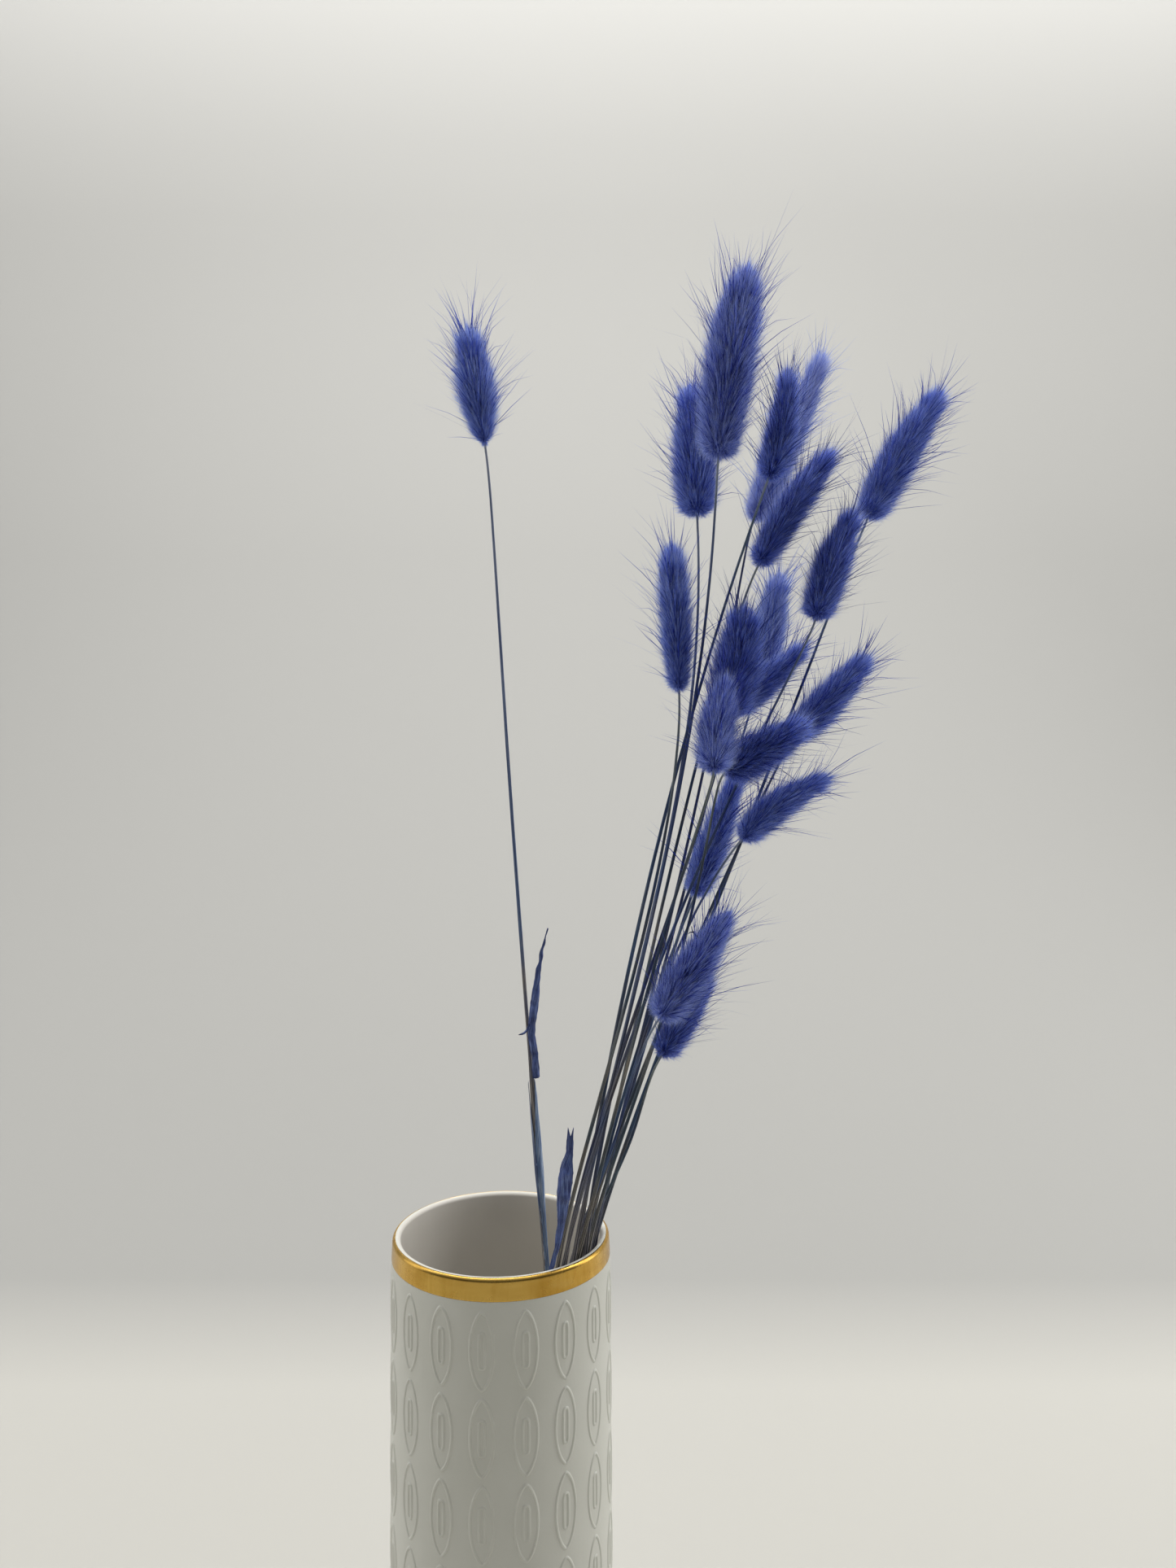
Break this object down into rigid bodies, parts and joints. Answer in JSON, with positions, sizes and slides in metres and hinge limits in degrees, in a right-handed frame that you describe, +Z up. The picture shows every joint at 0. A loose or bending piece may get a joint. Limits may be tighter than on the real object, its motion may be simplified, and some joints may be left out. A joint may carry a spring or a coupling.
{
  "type": "dried bunny tail grass in a vase",
  "caption": "Blue-dyed dried bunny tail grass: soft oval heads on thin stems, fanned out of a slim white cylinder vase with a gold rim band.",
  "frame": {"origin": "centre of the vase's foot, on the surface that it stands on", "axes": "+Z up along the vase, +X to the side that the fan of stems leans to, -Y to the front"},
  "size_m": [0.1824, 0.0766, 0.4994],
  "materials": {
    "porcelain": "satin white glaze with a polished gold band at the rim",
    "stem": "dry straw, dyed slate blue, matte",
    "fluff": "soft dyed plant hair, matte",
    "leaf": "dry dyed grass blade, matte"
  },
  "bodies": {
    "root": {"vase": "porcelain", "stem_01": "stem", "stem_02": "stem", "stem_03": "stem", "stem_04": "stem", "stem_05": "stem", "stem_06": "stem", "stem_07": "stem", "stem_08": "stem", "stem_09": "stem", "stem_10": "stem", "stem_11": "stem", "stem_12": "stem", "stem_13": "stem", "stem_14": "stem", "stem_15": "stem", "stem_16": "stem", "stem_17": "stem", "stem_18": "stem", "stem_19": "stem", "head_01": "fluff", "head_02": "fluff", "head_03": "fluff", "head_04": "fluff", "head_05": "fluff", "head_06": "fluff", "head_07": "fluff", "head_08": "fluff", "head_09": "fluff", "head_10": "fluff", "head_11": "fluff", "head_12": "fluff", "head_13": "fluff", "head_14": "fluff", "head_15": "fluff", "head_16": "fluff", "head_17": "fluff", "head_18": "fluff", "head_19": "fluff", "leaf_01": "leaf", "leaf_02": "leaf"}
  },
  "joints": []
}
